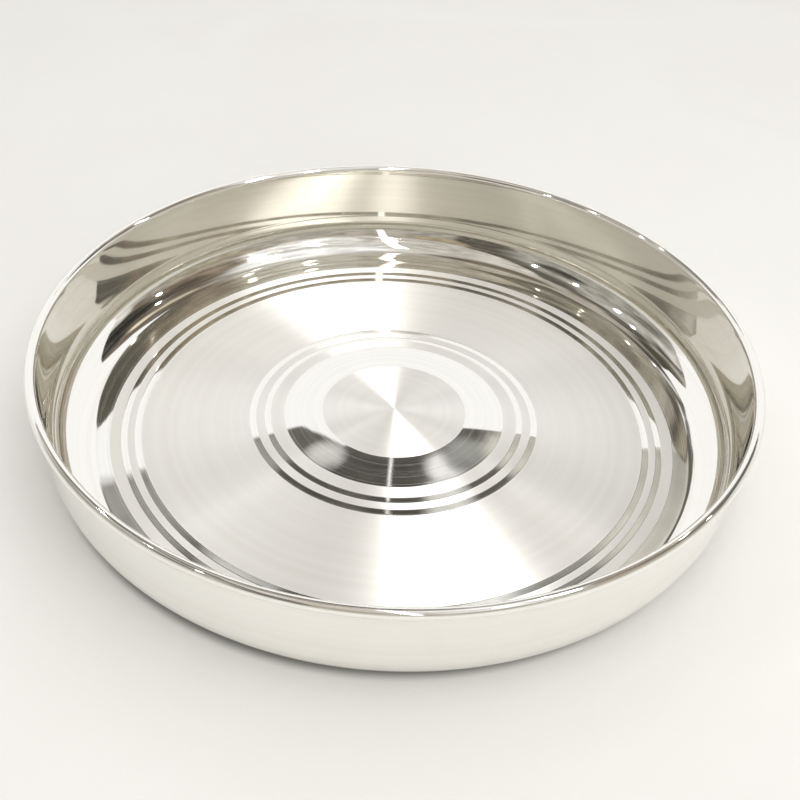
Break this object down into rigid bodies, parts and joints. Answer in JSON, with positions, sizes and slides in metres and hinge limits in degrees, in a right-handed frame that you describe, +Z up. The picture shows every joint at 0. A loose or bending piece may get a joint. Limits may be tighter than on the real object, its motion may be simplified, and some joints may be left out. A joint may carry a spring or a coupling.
{
  "type": "thali plate",
  "caption": "Round deep-walled silver dining plate with a low domed floor, turned satin and mirror rings, a rounded cove, an upright wall and a wired rim, for serving a meal.",
  "frame": {"origin": "middle of the flat ring that the plate rests on, on the lathe axis", "axes": "+Z up along the lathe axis; the plate is round, so +X and +Y are free, and -Y faced the camera"},
  "size_m": [0.3, 0.3, 0.046],
  "materials": {
    "silver_sheet": "polished silver with lathe-turned satin rings on the floor",
    "silver_wire": "drawn silver wire"
  },
  "bodies": {
    "root": {"dish": "silver_sheet", "rim_wire": "silver_wire"}
  },
  "joints": []
}
